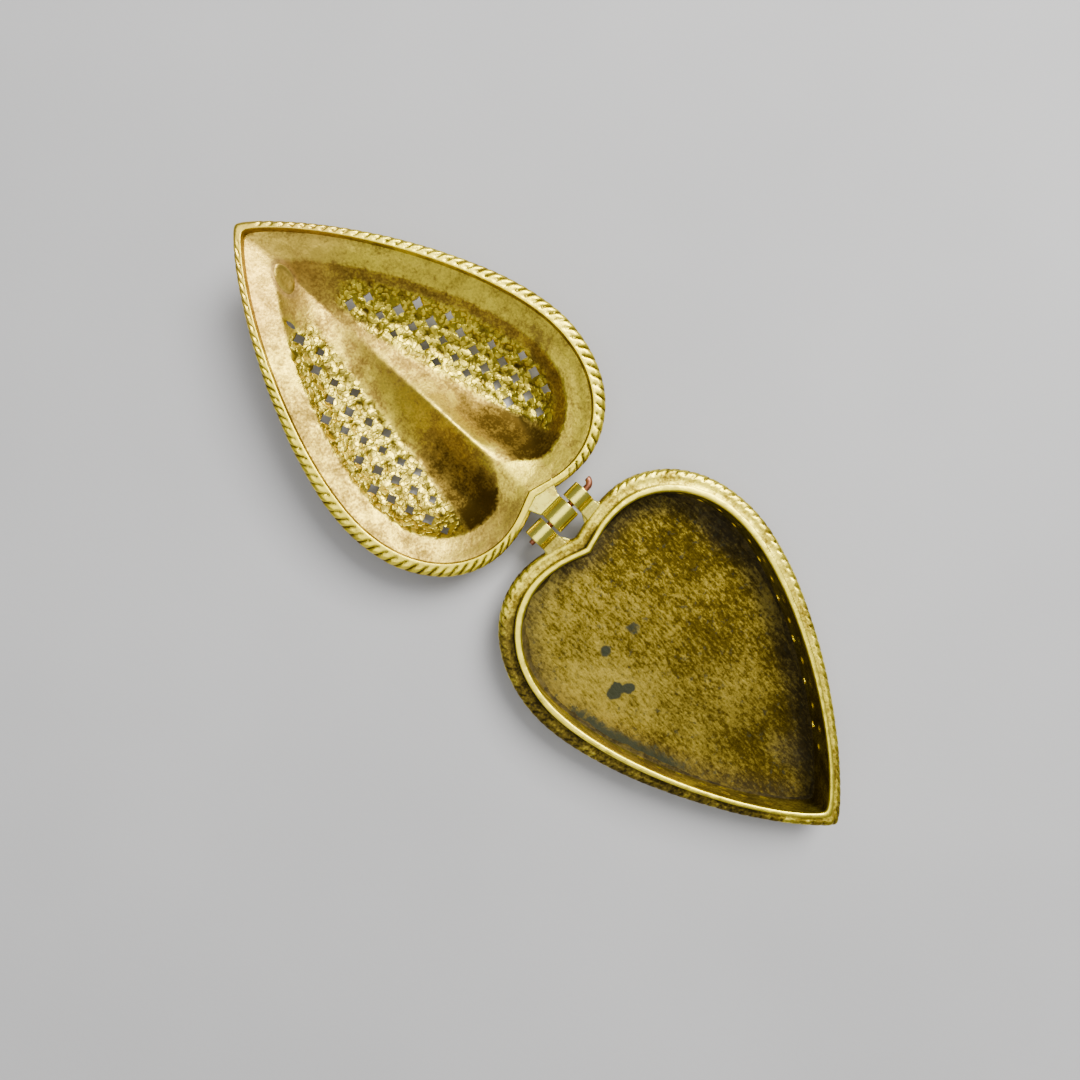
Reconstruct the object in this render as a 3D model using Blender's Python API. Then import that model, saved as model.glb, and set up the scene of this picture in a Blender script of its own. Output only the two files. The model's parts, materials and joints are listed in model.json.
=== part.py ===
"""Heart-shaped brass trinket box with a pierced, double-domed lid, lying open on a table.

The box stands on z = 0 with the origin in the middle of its underside. Its own axis runs along -Y,
from the hinge to the pointed tip. Sizes are in millimetres here and are scaled to metres at the end.
Plan positions are written (side, along): side is +X, and along is measured from the hinge centre
towards the tip. The lid is drawn in its own frame, (side, along, depth), where depth is the distance
from the rim plane into the dome, and is then turned into its open place about the hinge.
"""
import math

import bmesh
import bpy
from mathutils import Matrix, Vector
from mathutils.geometry import delaunay_2d_cdt

MM = 0.001

# Driving dimensions: the base and the hinge
HINGE_ALONG = 55.5            # the hinge centre lies this far behind the origin
HINGE_HEIGHT = 13.0
HINGE_SKEW = math.radians(2.85)   # the pin is this far out of square with the box's axis
OPEN_TILT = math.radians(6.6)     # the open lid rests on its domes with its tip this much raised
LEDGE_HEIGHT = HINGE_HEIGHT - 0.3
LIP_HEIGHT = 3.3              # the fitting lip above the ledge
FLOOR_THICKNESS = 1.4
SEAM = 0.3                    # gap that stands for a soldered or brazed seam
WALL_HOLE_RADIUS = 0.62
WALL_HOLE_PITCH = 12.0
WALL_HOLE_HEIGHTS = ((6.9,), (3.9, 9.9))   # single holes, and stacked pairs between them
WALL_HOLES_FROM = 15.0        # the first and last holes are this far from the cleft, along the wall
WALL_HOLES_CLEAR = 8.0        # no hole is nearer than this to the inside of the tip
WALL_HOLE_FACETS = 6
WALL_CUT = 5.0
FOOT_HEIGHT = 2.0             # the foot band, and the slope above it
FOOT_SLOPE = 0.6
MOULDING_HEIGHTS = (8.6, 9.0, 10.0, 11.6)   # the wall's top, and the moulding's lower corners

# Heart outlines: (cleft, shoulder, half width, tip). The first, second and fourth are distances
# from the hinge centre along the axis.
ROPE_OUTER = (6.4, 3.4, 40.4, 111.0)
ROPE_INNER = (7.6, 4.6, 39.2, 109.6)
LIP_OUTER = (10.4, 7.6, 36.2, 106.6)
LIP_INNER = (11.8, 9.0, 34.8, 105.0)
WALL_OUTER = (10.6, 7.8, 36.0, 106.3)
FLOOR_EDGE = (12.2, 9.4, 34.4, 104.5)
FOOT_OUTER = (9.9, 7.1, 36.7, 107.1)
RIM_INNER = (9.3, 6.1, 36.7, 108.2)
SHOULDER_OUTER = (8.0, 5.0, 38.6, 109.4)
CREASE = (20.0, 12.3, 31.0, 98.6)

SHOULDER_SIDE = 0.37          # side of the shoulder's crown, as a share of the half width
WIDEST_ALONG = 34.3
TIP_ANGLE = math.radians(52.0)
TIP_ROUNDING = 0.7
CLEFT_PULL = (0.35, 1.4)      # the curves' control points, as shares of the stretch they shape:
SHOULDER_PULL = 0.6           # the cleft's second number is in millimetres
CROWN_PULL = 0.55
FLANK_PULL = (0.6, 0.317)
TIP_PULL = 0.258

# Driving dimensions: the lid
RIM_DROP = 4.2                # straight step inside the rim that receives the base's lip
CREASE_DEPTH = 6.6            # depth of the crease where the puffed lobes begin
DOME_RISE = 8.35              # rise of the lobes above the crease
DOME_REACH = 19.0             # the lobes level off this far inside the crease
DOME_REACH_BACK = 12.0        # the same at the lobes' round ends, next to the hinge
VALLEY_START = 20.0           # the valley between the lobes runs between these places
VALLEY_END = 93.0
VALLEY_HALF_WIDTH = 13.0
REACH_GROWS = (12.0, 45.0)    # the reach grows from one value to the other between these places
DOME_ROUNDNESS = 2.2
VALLEY_SHARPNESS = 1.5
SLOPE_STEP = 0.3              # the slope is measured over twice this
STEEPEST = 1.8
LID_MOULDING_DEPTHS = (1.1, 2.9, 4.0)
SHOULDER_DEPTH = RIM_DROP + 0.9
SHELL_THICKNESS = 1.2
LATTICE_A = Vector((1.2, 5.5))    # pitch of the piercing, as (side, along)
LATTICE_B = Vector((4.55, -2.6))
LATTICE_START = Vector((18.6, 46.6))
DIAMOND_RADIUS = 1.45
PIERCED_FROM = 16.5
PIERCED_TO = 82.0
PIERCED_RIGHT = (4.4, 21.4, 0.245)   # least distance to the crease; the band's inner side where
PIERCED_LEFT = (1.6, 23.3, 0.2)      # along is 0, and how fast that side nears the valley
PIERCED_SIDE = 4.6            # the valley stays whole this far to each side
GRID = 5.0                    # spacing of the dome's own points
GRID_STRETCH = 1.1
GRID_GAP = 0.55               # as a share of the spacing, from any other point
HOLE_CLEARANCE = 2.6
VALLEY_STEPS = 12

PATCH_LENGTH = 8.0            # oval casting plug near the lid's tip
PATCH_WIDTH = 4.4
PATCH_PLACE = (-1.6, 95.0)
PATCH_TURN = math.radians(-28)
PATCH_FACETS = 16
PATCH_CUT = 12.0

# Driving dimensions: hinge pieces, as (from, to) along the pin from its middle
EAR_LEFT = (-8.9, -3.3)
EAR_RIGHT = (5.2, 10.1)
LID_KNUCKLE = (-2.5, 4.4)
EAR_RADIUS = 3.2
KNUCKLE_RADIUS = 3.5
TONGUE_REACH = 6.9            # the knuckles' tongues end this far from the pin
PIN_RADIUS = 0.9
BORE_RADIUS = 1.0
PIN_FACETS = 16
KNUCKLE_FACETS = 18
BORE_REACH = 20.0
EAR_POCKET = (-5.0, 2.0)      # the pockets' lowest and highest places, from the pin
KNUCKLE_POCKET_LOW = -2.0
PIN_ENDS = (-10.2, 11.2)
HOOK_RADIUS = 1.7
HOOK_STEPS = 6

STEPS = 12                    # points on each of the three curves of half a heart
FINE_STEPS = 40


# ---------------------------------------------------------------- curves and surfaces

def bezier(a, b, c, d, steps):
    """Points of one cubic curve, without its last point."""
    points = []
    for i in range(steps):
        t = i / steps
        s = 1.0 - t
        points.append(a * s**3 + b * (3 * s * s * t) + c * (3 * s * t * t) + d * t**3)
    return points


def heart(outline, steps=STEPS):
    """A closed heart as (side, along) points, from the cleft round the right side and back."""
    cleft, shoulder, half_width, tip = outline
    crown = SHOULDER_SIDE * half_width
    back = WIDEST_ALONG - shoulder
    front = tip - WIDEST_ALONG
    start, crown_point = Vector((0, cleft)), Vector((crown, shoulder))
    widest, point = Vector((half_width, WIDEST_ALONG)), Vector((0, tip))
    slope = Vector((math.sin(TIP_ANGLE), -math.cos(TIP_ANGLE))) * (TIP_PULL * front)
    half = bezier(start, Vector((CLEFT_PULL[0] * crown, cleft - CLEFT_PULL[1])),
                  Vector((SHOULDER_PULL * crown, shoulder)), crown_point, steps)
    half += bezier(crown_point, Vector((crown + CROWN_PULL * (half_width - crown), shoulder)),
                   Vector((half_width, WIDEST_ALONG - FLANK_PULL[0] * back)), widest, steps)
    half += bezier(widest, Vector((half_width, WIDEST_ALONG + FLANK_PULL[1] * front)),
                   point + slope, point, steps * 2)
    half = [Vector((p.x, tip + TIP_ROUNDING - math.hypot(tip - p.y, TIP_ROUNDING))) for p in half]
    left = [Vector((-p.x, p.y)) for p in reversed(half[1:])]
    return half + [Vector((0, tip))] + left


def new_object(name, mesh, material):
    item = bpy.data.objects.new(name, mesh)
    bpy.context.scene.collection.objects.link(item)
    mesh.materials.append(material)
    mesh.shade_smooth()
    mesh.set_sharp_from_angle(angle=math.radians(35))
    return item


def finish_mesh(bm, name):
    """Turns a bmesh in millimetres into a mesh in metres with its faces pointing out."""
    bm.normal_update()
    bmesh.ops.recalc_face_normals(bm, faces=bm.faces)
    bmesh.ops.scale(bm, vec=(MM, MM, MM), verts=bm.verts)
    mesh = bpy.data.meshes.new(name)
    bm.to_mesh(mesh)
    bm.free()
    return mesh


def base_place(point, height):
    """A plan point of the base, as a position in millimetres."""
    return Vector((point[0], HINGE_ALONG - point[1], height))


def lid_place():
    """Turns the lid's own (side, along, depth) into its open place, in millimetres."""
    pin = Vector((math.cos(HINGE_SKEW), math.sin(HINGE_SKEW), 0))
    closed = Matrix(((1, 0, 0), (0, -1, 0), (0, 0, 1))).to_4x4()
    opening = Matrix.Rotation(-(math.pi - OPEN_TILT), 4, pin)
    hinge = Matrix.Translation(Vector((0, HINGE_ALONG, HINGE_HEIGHT)))
    return hinge @ opening @ closed


def loft(bm, rings, closed):
    """Bridges rings of equal length. closed joins the last ring to the first."""
    pairs = list(zip(rings, rings[1:]))
    if closed:
        pairs.append((rings[-1], rings[0]))
    for low, high in pairs:
        count = len(low)
        for i in range(count):
            j = (i + 1) % count
            bm.faces.new((low[i], low[j], high[j], high[i]))


def cylinder(name, radius, ends, facets=PIN_FACETS):
    """A cylinder along +X between two places, in millimetres."""
    bm = bmesh.new()
    length = ends[1] - ends[0]
    middle = Matrix.Translation(Vector(((ends[0] + ends[1]) / 2, 0, 0)))
    turn = Matrix.Rotation(math.pi / 2, 4, "Y")
    bmesh.ops.create_cone(bm, cap_ends=True, segments=facets, radius1=radius, radius2=radius,
                          depth=length, matrix=middle @ turn)
    return finish_mesh(bm, name)


def cutter(name, mesh, place=Matrix()):
    """An object that only cuts, and isn't part of the box."""
    item = bpy.data.objects.new(name, mesh)
    bpy.context.scene.collection.objects.link(item)
    item.matrix_world = place
    item.hide_render = True
    item.display_type = "WIRE"
    return item


def cut(item, tool, operation="DIFFERENCE"):
    modifier = item.modifiers.new(operation.title(), "BOOLEAN")
    modifier.operation = operation
    modifier.solver = "EXACT"
    modifier.object = tool


# ---------------------------------------------------------------- materials

def brass(name, colour, roughness, metallic=1.0):
    material = bpy.data.materials.new(name)
    material.use_nodes = True
    shader = material.node_tree.nodes["Principled BSDF"]
    shader.inputs["Base Color"].default_value = (*colour, 1)
    shader.inputs["Roughness"].default_value = roughness
    shader.inputs["Metallic"].default_value = metallic
    return material


# ---------------------------------------------------------------- base pieces

def wall_holes():
    """One mesh of small prisms that pierce the wall: stacked pairs alternating with single holes."""
    bm = bmesh.new()
    inner = [base_place(p, 0) for p in heart(LIP_INNER, FINE_STEPS)]
    outer = [base_place(p, 0) for p in heart(WALL_OUTER, FINE_STEPS)]
    travelled, next_hole, index = 0.0, WALL_HOLES_FROM, 0
    total = sum((b - a).length for a, b in zip(inner, inner[1:]))
    for i in range(1, len(inner) - 1):
        travelled += (inner[i] - inner[i - 1]).length
        if travelled < next_hole or next_hole > total - WALL_HOLES_FROM:
            continue
        next_hole += WALL_HOLE_PITCH / 2
        index += 1
        middle = (inner[i] + outer[i]) / 2
        tangent = (inner[i + 1] - inner[i - 1]).normalized()
        across = tangent.cross(Vector((0, 0, 1)))
        if abs(middle.y - base_place((0, LIP_INNER[3]), 0).y) < WALL_HOLES_CLEAR:
            continue
        for height in WALL_HOLE_HEIGHTS[index % 2]:
            turn = across.to_track_quat("Z", "Y").to_matrix().to_4x4()
            place = Matrix.Translation(middle + Vector((0, 0, height))) @ turn
            bmesh.ops.create_cone(bm, cap_ends=True, segments=WALL_HOLE_FACETS,
                                  radius1=WALL_HOLE_RADIUS, radius2=WALL_HOLE_RADIUS,
                                  depth=WALL_CUT, matrix=place)
    return finish_mesh(bm, "wall_holes")


def make_base_wall(material):
    """The cast wall: fitting lip, ledge, rope moulding, pierced wall and a low foot band."""
    wall_top, rope_low, rope_from, rope_to = MOULDING_HEIGHTS
    profile = [
        (FOOT_OUTER, 0.0), (FOOT_OUTER, FOOT_HEIGHT), (WALL_OUTER, FOOT_HEIGHT + FOOT_SLOPE),
        (WALL_OUTER, wall_top), (ROPE_INNER, rope_low), (ROPE_OUTER, rope_from),
        (ROPE_OUTER, rope_to), (ROPE_INNER, LEDGE_HEIGHT),
        (LIP_OUTER, LEDGE_HEIGHT), (LIP_OUTER, LEDGE_HEIGHT + LIP_HEIGHT),
        (LIP_INNER, LEDGE_HEIGHT + LIP_HEIGHT), (LIP_INNER, 0.0),
    ]
    bm = bmesh.new()
    rings = [[bm.verts.new(base_place(p, height)) for p in heart(outline)]
             for outline, height in profile]
    loft(bm, rings, closed=True)
    wall = new_object("base_wall", finish_mesh(bm, "base_wall"), material)
    cut(wall, cutter("wall_holes", wall_holes()))
    return wall


def make_base_floor(material):
    """A plate of sheet brass soldered inside the foot of the wall."""
    bm = bmesh.new()
    rings = [[bm.verts.new(base_place(p, height)) for p in heart(FLOOR_EDGE)]
             for height in (0.0, FLOOR_THICKNESS)]
    loft(bm, rings, closed=False)
    bm.faces.new(rings[0])
    bm.faces.new(rings[1])
    return new_object("base_floor", finish_mesh(bm, "base_floor"), material)


# ---------------------------------------------------------------- hinge pieces

def hinge_frame():
    """+X along the pin, at the hinge's centre, in metres."""
    turn = Matrix.Rotation(HINGE_SKEW, 4, "Z")
    return Matrix.Translation(Vector((0, HINGE_ALONG, HINGE_HEIGHT)) * MM) @ turn


def opened(place):
    """A place in the closed box's hinge frame, turned to where the open lid has it."""
    return place @ Matrix.Rotation(-(math.pi - OPEN_TILT), 4, "X")


def prism(name, ends, side_view):
    """A block along +X between two places, from a side view in (y, z)."""
    bm = bmesh.new()
    loops = [[bm.verts.new((x, y, z)) for y, z in side_view] for x in ends]
    loft(bm, loops, closed=False)
    bm.faces.new(loops[0])
    bm.faces.new(loops[1])
    return finish_mesh(bm, name)


def knuckle_side(radius, arc_from, arc_to, tongue):
    """Side view of a knuckle: an arc about the pin in degrees, then the corners of its tongue."""
    span = arc_to - arc_from
    angles = [math.radians(arc_from + span * i / KNUCKLE_FACETS) for i in range(KNUCKLE_FACETS + 1)]
    return [(radius * math.cos(a), radius * math.sin(a)) for a in angles] + tongue


def box_side(y_from, y_to, z_from, z_to):
    return [(y_from, z_from), (y_to, z_from), (y_to, z_to), (y_from, z_to)]


def widened(ends):
    return (ends[0] - SEAM, ends[1] + SEAM)


def cut_bore(item, place):
    mesh = cylinder(item.name + "_bore", BORE_RADIUS, (-BORE_REACH, BORE_REACH))
    cut(item, cutter(item.name + "_bore", mesh, place))


def make_ear(name, ends, material, wall):
    """A knuckle brazed to the base: a barrel with a tongue let into the ledge."""
    top = LEDGE_HEIGHT - HINGE_HEIGHT
    start = 180 + math.degrees(math.asin(-top / EAR_RADIUS))
    tongue = [(-TONGUE_REACH, -EAR_RADIUS), (-TONGUE_REACH, top)]
    side = knuckle_side(EAR_RADIUS, start, -90, tongue)
    ear = new_object(name, prism(name, ends, side), material)
    ear.matrix_world = hinge_frame()
    cut_bore(ear, hinge_frame())
    side = box_side(-TONGUE_REACH - SEAM, 0, *EAR_POCKET)
    pocket = prism(name + "_pocket", widened(ends), side)
    cut(wall, cutter(name + "_pocket", pocket, hinge_frame()))
    return ear


def make_lid_knuckle(material, shell):
    """The lid's knuckle, between the ears, with a tongue let into the rim."""
    tongue = [(-TONGUE_REACH, KNUCKLE_RADIUS), (-TONGUE_REACH, 0)]
    side = knuckle_side(KNUCKLE_RADIUS, 180, 450, tongue)
    place = opened(hinge_frame())
    knuckle = new_object("lid_knuckle", prism("lid_knuckle", LID_KNUCKLE, side), material)
    knuckle.matrix_world = place
    cut_bore(knuckle, place)
    side = box_side(-TONGUE_REACH - SEAM, 0, KNUCKLE_POCKET_LOW, KNUCKLE_RADIUS + SEAM)
    pocket = prism("lid_pocket", widened(LID_KNUCKLE), side)
    cut(shell, cutter("lid_pocket", pocket, place))
    return knuckle


def make_pin(material):
    """The copper wire pin: straight through the knuckles, then a short hook at its right end."""
    points = [Vector((PIN_ENDS[0], 0, 0)), Vector((PIN_ENDS[1], 0, 0))]
    for i in range(1, HOOK_STEPS + 1):
        angle = math.pi / 2 * i / HOOK_STEPS
        points.append(Vector((PIN_ENDS[1] + HOOK_RADIUS * math.sin(angle),
                              HOOK_RADIUS * (1 - math.cos(angle)), 0)))
    curve = bpy.data.curves.new("hinge_pin", "CURVE")
    curve.dimensions = "3D"
    curve.bevel_depth = PIN_RADIUS * MM
    curve.bevel_resolution = (PIN_FACETS - 4) // 2
    curve.use_fill_caps = True
    spline = curve.splines.new("POLY")
    spline.points.add(len(points) - 1)
    for slot, point in zip(spline.points, points):
        slot.co = (*(point * MM), 1)
    pin = bpy.data.objects.new("hinge_pin", curve)
    bpy.context.scene.collection.objects.link(pin)
    curve.materials.append(material)
    pin.matrix_world = hinge_frame()
    return pin


# ---------------------------------------------------------------- the lid

def distance_to(loop, point):
    """Least distance from a plan point to a closed loop of points."""
    best = math.inf
    for a, b in zip(loop, loop[1:] + loop[:1]):
        span = b - a
        share = max(0.0, min(1.0, (point - a).dot(span) / span.length_squared))
        best = min(best, (point - a - span * share).length)
    return best


def inside(loop, point):
    """Whether a plan point lies in a closed loop."""
    hit = False
    for a, b in zip(loop, loop[1:] + loop[:1]):
        if (a.y > point.y) != (b.y > point.y):
            if point.x < a.x + (b.x - a.x) * (point.y - a.y) / (b.y - a.y):
                hit = not hit
    return hit


def smooth_share(value, low, high):
    """0 below low, 1 above high, and a smooth step between."""
    t = max(0.0, min(1.0, (value - low) / (high - low)))
    return t * t * (3 - 2 * t)


class Dome:
    """The inside of the lid: a sloping skirt, a crease, and two puffed lobes with a valley."""

    def __init__(self):
        self.rim = heart(RIM_INNER)
        self.crease = heart(CREASE)

    def depth(self, point):
        to_crease = distance_to(self.crease, point)
        if not inside(self.crease, point):
            to_rim = distance_to(self.rim, point)
            share = to_rim / max(to_rim + to_crease, 1e-6)
            return RIM_DROP + (CREASE_DEPTH - RIM_DROP) * share
        grown = smooth_share(point.y, *REACH_GROWS)
        reach = DOME_REACH_BACK + (DOME_REACH - DOME_REACH_BACK) * grown
        rise = DOME_RISE * (1 - (1 - min(to_crease / reach, 1.0)) ** DOME_ROUNDNESS)
        valley = 1 - smooth_share(point.y, VALLEY_START, VALLEY_END)
        near = max(0.0, 1 - abs(point.x) / VALLEY_HALF_WIDTH)
        return CREASE_DEPTH + rise * (1 - valley * near**VALLEY_SHARPNESS)

    def outer_depth(self, point):
        """The outside of the shell: deeper by the metal's thickness, measured square to it."""
        forward, sideways = Vector((0, SLOPE_STEP)), Vector((SLOPE_STEP, 0))
        along = self.depth(point + forward) - self.depth(point - forward)
        across = self.depth(point + sideways) - self.depth(point - sideways)
        slope = min(math.hypot(along, across) / (2 * SLOPE_STEP), STEEPEST)
        return self.depth(point) + SHELL_THICKNESS * math.hypot(1, slope)


def diamonds(dome):
    """Outlines of the pierced diamonds, on a slanting lattice mirrored about the valley."""
    found = []
    corners = ((LATTICE_A + LATTICE_B).normalized(), (LATTICE_A - LATTICE_B).normalized())
    for mirror, (margin, start, lean) in ((1, PIERCED_RIGHT), (-1, PIERCED_LEFT)):
        for i in range(-9, 10):
            for j in range(-6, 7):
                centre = LATTICE_START + LATTICE_A * i + LATTICE_B * j
                if not PIERCED_FROM < centre.y < PIERCED_TO:
                    continue
                if centre.x < max(start - lean * centre.y, PIERCED_SIDE):
                    continue
                if not inside(dome.crease, centre) or distance_to(dome.crease, centre) < margin:
                    continue
                loop = [centre + way * DIAMOND_RADIUS
                        for way in (corners[0], corners[1], -corners[0], -corners[1])]
                found.append([Vector((p.x * mirror, p.y)) for p in loop])
    return found


def plan_triangles(dome, holes):
    """Triangles of the plan inside the rim, with every crease and hole edge kept."""
    points, edges = [], []

    def add_loop(loop, closed=True):
        first = len(points)
        points.extend(loop)
        count = len(loop)
        edges.extend((first + i, first + (i + 1) % count)
                     for i in range(count if closed else count - 1))

    add_loop(dome.rim)
    add_loop(dome.crease)
    valley_from = CREASE[0] + 2
    add_loop([Vector((0, valley_from + (VALLEY_END - valley_from) * i / VALLEY_STEPS))
              for i in range(VALLEY_STEPS + 1)], closed=False)
    for hole in holes:
        add_loop(hole)
    centres = [sum(hole, Vector((0, 0))) / len(hole) for hole in holes]
    fixed = list(points)
    rows = int(RIM_INNER[3] / GRID)
    for i in range(1, rows + 1):
        for j in range(-rows // 2, rows // 2 + 1):
            spot = Vector(((j + 0.5 * (i % 2)) * GRID * GRID_STRETCH, i * GRID))
            to_hole = min((spot - c).length for c in centres)
            if not inside(dome.rim, spot) or to_hole < HOLE_CLEARANCE:
                continue
            if min((spot - f).length for f in fixed) > GRID_GAP * GRID:
                points.append(spot)
    verts, _, faces, *_ = delaunay_2d_cdt(points, edges, [], 1, 1e-5)
    kept = []
    for face in faces:
        middle = sum((verts[i] for i in face), Vector((0, 0))) / len(face)
        near = [hole for hole, c in zip(holes, centres) if (c - middle).length < DIAMOND_RADIUS]
        if inside(dome.rim, middle) and not any(inside(hole, middle) for hole in near):
            kept.append(face)
    return verts, kept


def make_lid_shell(material):
    """The cast lid: rope-edged rim, step, skirt and pierced double dome, 1.2 mm thick."""
    dome = Dome()
    plan, faces = plan_triangles(dome, diamonds(dome))
    bm = bmesh.new()
    used = sorted({i for face in faces for i in face})
    inner = {i: bm.verts.new((plan[i].x, plan[i].y, dome.depth(plan[i]))) for i in used}
    outer = {i: bm.verts.new((plan[i].x, plan[i].y, dome.outer_depth(plan[i]))) for i in used}
    sides = {}
    for face in faces:
        bm.faces.new([inner[i] for i in face])
        bm.faces.new([outer[i] for i in reversed(face)])
        for a, b in zip(face, face[1:] + face[:1]):
            sides[(a, b)] = sides.get((a, b), 0) + 1
    rim_count = len(dome.rim)
    for a, b in sides:
        if (b, a) not in sides and not (a < rim_count and b < rim_count):
            bm.faces.new((inner[b], inner[a], outer[a], outer[b]))
    rope_from, rope_to, rope_low = LID_MOULDING_DEPTHS
    section = [(RIM_INNER, 0.0), (ROPE_INNER, 0.0), (ROPE_OUTER, rope_from), (ROPE_OUTER, rope_to),
               (ROPE_INNER, rope_low), (SHOULDER_OUTER, SHOULDER_DEPTH)]
    rings = [[inner[i] for i in range(rim_count)]]
    rings += [[bm.verts.new((p.x, p.y, depth)) for p in heart(outline)]
              for outline, depth in section]
    rings.append([outer[i] for i in range(rim_count)])
    loft(bm, rings, closed=False)
    bm.transform(lid_place())
    return new_object("lid_shell", finish_mesh(bm, "lid_shell"), material)


def oblong(name, length, width, place):
    """An upright oval prism, as a cutter, in the lid's own frame."""
    bm = bmesh.new()
    shape = Matrix.Diagonal((width / 2, length / 2, 1, 1))
    bmesh.ops.create_cone(bm, cap_ends=True, segments=PATCH_FACETS, radius1=1, radius2=1,
                          depth=PATCH_CUT, matrix=place @ shape)
    bm.transform(lid_place())
    return cutter(name, finish_mesh(bm, name))


def make_lid_patch(material, shell):
    """An oval casting plug set into the shell near its tip, flush with both of its faces."""
    place = Matrix.Translation(Vector((*PATCH_PLACE, CREASE_DEPTH)))
    place = place @ Matrix.Rotation(PATCH_TURN, 4, "Z")
    patch = new_object("lid_patch", shell.data.copy(), material)
    patch.data.materials.clear()
    patch.data.materials.append(material)
    cut(patch, oblong("patch_body", PATCH_LENGTH, PATCH_WIDTH, place), "INTERSECT")
    grown = oblong("patch_hole", PATCH_LENGTH + 2 * SEAM, PATCH_WIDTH + 2 * SEAM, place)
    cut(shell, grown)
    return patch


# ---------------------------------------------------------------- the whole box

def main():
    for item in list(bpy.data.objects):
        bpy.data.objects.remove(item)
    cast = brass("cast_brass", (0.46, 0.36, 0.13), 0.45)
    sheet = brass("sheet_brass", (0.34, 0.25, 0.09), 0.40)
    worn = brass("worn_brass", (0.56, 0.46, 0.20), 0.35)
    copper = brass("copper", (0.42, 0.20, 0.12), 0.45)
    wall = make_base_wall(cast)
    make_base_floor(sheet)
    shell = make_lid_shell(cast)
    make_lid_patch(worn, shell)
    make_ear("hinge_ear_left", EAR_LEFT, worn, wall)
    make_ear("hinge_ear_right", EAR_RIGHT, worn, wall)
    make_lid_knuckle(worn, shell)
    make_pin(copper)


main()
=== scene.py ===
"""Looks of the heart-shaped brass trinket box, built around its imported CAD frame.

Plan positions are (side, along) in millimetres, as in the CAD: side is +X, and along is measured
from the hinge centre towards the base's tip. The lid is drawn closed, as (side, along, depth), with
depth counted from the rim plane into the dome, and is then turned open about the hinge.
"""
import json
import math

import bmesh
import bpy
import numpy as np
from mathutils import Matrix, Vector
from mathutils.geometry import delaunay_2d_cdt


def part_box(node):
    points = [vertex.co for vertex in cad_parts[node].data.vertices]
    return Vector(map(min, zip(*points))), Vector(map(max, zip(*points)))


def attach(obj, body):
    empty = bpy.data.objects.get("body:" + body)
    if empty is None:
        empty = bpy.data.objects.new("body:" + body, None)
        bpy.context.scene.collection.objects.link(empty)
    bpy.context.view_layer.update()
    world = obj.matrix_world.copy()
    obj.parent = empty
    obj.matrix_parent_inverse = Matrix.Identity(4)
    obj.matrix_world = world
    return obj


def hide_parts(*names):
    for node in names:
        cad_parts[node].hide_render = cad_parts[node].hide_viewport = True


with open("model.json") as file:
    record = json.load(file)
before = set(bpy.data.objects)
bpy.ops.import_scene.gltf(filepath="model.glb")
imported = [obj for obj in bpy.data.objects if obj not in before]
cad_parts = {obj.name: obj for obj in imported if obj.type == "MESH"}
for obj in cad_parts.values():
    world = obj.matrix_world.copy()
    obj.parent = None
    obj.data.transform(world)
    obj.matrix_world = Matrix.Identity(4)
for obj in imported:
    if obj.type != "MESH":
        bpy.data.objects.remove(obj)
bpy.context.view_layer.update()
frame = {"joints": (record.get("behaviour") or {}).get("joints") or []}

MM = 0.001
HINGE = frame["joints"][0]
HINGE_POINT = Vector(HINGE["pos_m"]) / MM
HINGE_AXIS = Vector(HINGE["axis"]).normalized()
OPENING = math.radians(HINGE["range_deg"][1])
HINGE_HEIGHT = HINGE_POINT.z
LEDGE = HINGE_HEIGHT - 0.3  # the base's ledge, where the closed lid's rim comes down
LIP_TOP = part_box("base_wall")[1].z / MM
FLOOR_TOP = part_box("base_floor")[1].z / MM

# The CAD's heart outlines: (cleft, shoulder, half width, tip), all but the third along the axis.
BASE_OUTER = np.array((6.4, 3.4, 40.4, 111.0))
BASE_INNER = np.array((11.8, 9.0, 34.8, 105.0))
BASE_INSET = 5.6  # mm between those two at the sides
FLOOR_EDGE = np.array((12.2, 9.4, 34.4, 104.5))
LID_OUTER = BASE_OUTER  # the closed halves' mouldings are flush
LID_INNER = np.array((9.3, 6.1, 36.7, 108.2))
LID_INSET = 3.7
CREASE = np.array((20.0, 12.3, 31.0, 98.6))
SHOULDER_SIDE = 0.37
WIDEST_ALONG = 34.3
TIP_ANGLE = math.radians(52.0)
TIP_ROUNDING = 0.7
CLEFT_PULL = (0.35, 1.4)  # the curves' control points, as shares of the stretch they
SHOULDER_PULL = 0.6  # shape: the cleft's second number is in millimetres
CROWN_PULL = 0.55
FLANK_PULL = (0.6, 0.317)
TIP_PULL = 0.258

# The CAD's dome
RIM_DROP = 4.2
CREASE_DEPTH = 6.6
DOME_RISE = 8.35
DOME_REACH = 19.0
DOME_REACH_BACK = 12.0
VALLEY_START = 20.0
VALLEY_END = 93.0
VALLEY_HALF_WIDTH = 13.0
SHELL = 1.2
LATTICE_A = np.array((1.2, 5.5))
LATTICE_B = np.array((4.55, -2.6))
LATTICE_START = np.array((18.6, 46.6))
PIERCED_FROM = 16.5
PIERCED_TO = 82.0
PIERCED_RIGHT = (4.4, 21.4, 0.245)  # least distance to the crease; the band's inner side where
PIERCED_LEFT = (1.6, 23.3, 0.2)  # along is 0, and how fast that side nears the valley
PIERCED_SIDE = 4.6  # the valley stays whole this far to each side
DIAMOND_RADIUS = 1.78
SLIT_CENTRE = (-9.6, 86.0)
SLIT_SIZE = (0.55, 1.5)
WALL_HOLE_PITCH = 12.0
WALL_HOLE_RADIUS = 0.85
WALL_HOLES_FROM = 15.0  # the first and last holes are this far from the cleft
WALL_HOLES_CLEAR = 8.0  # no hole is nearer than this to the inside of the tip
WALL_HOLE_HEIGHTS = ((6.9,), (3.9, 9.9))
WALL_MIDDLE = 5.0  # inset of the wall's middle

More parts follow.
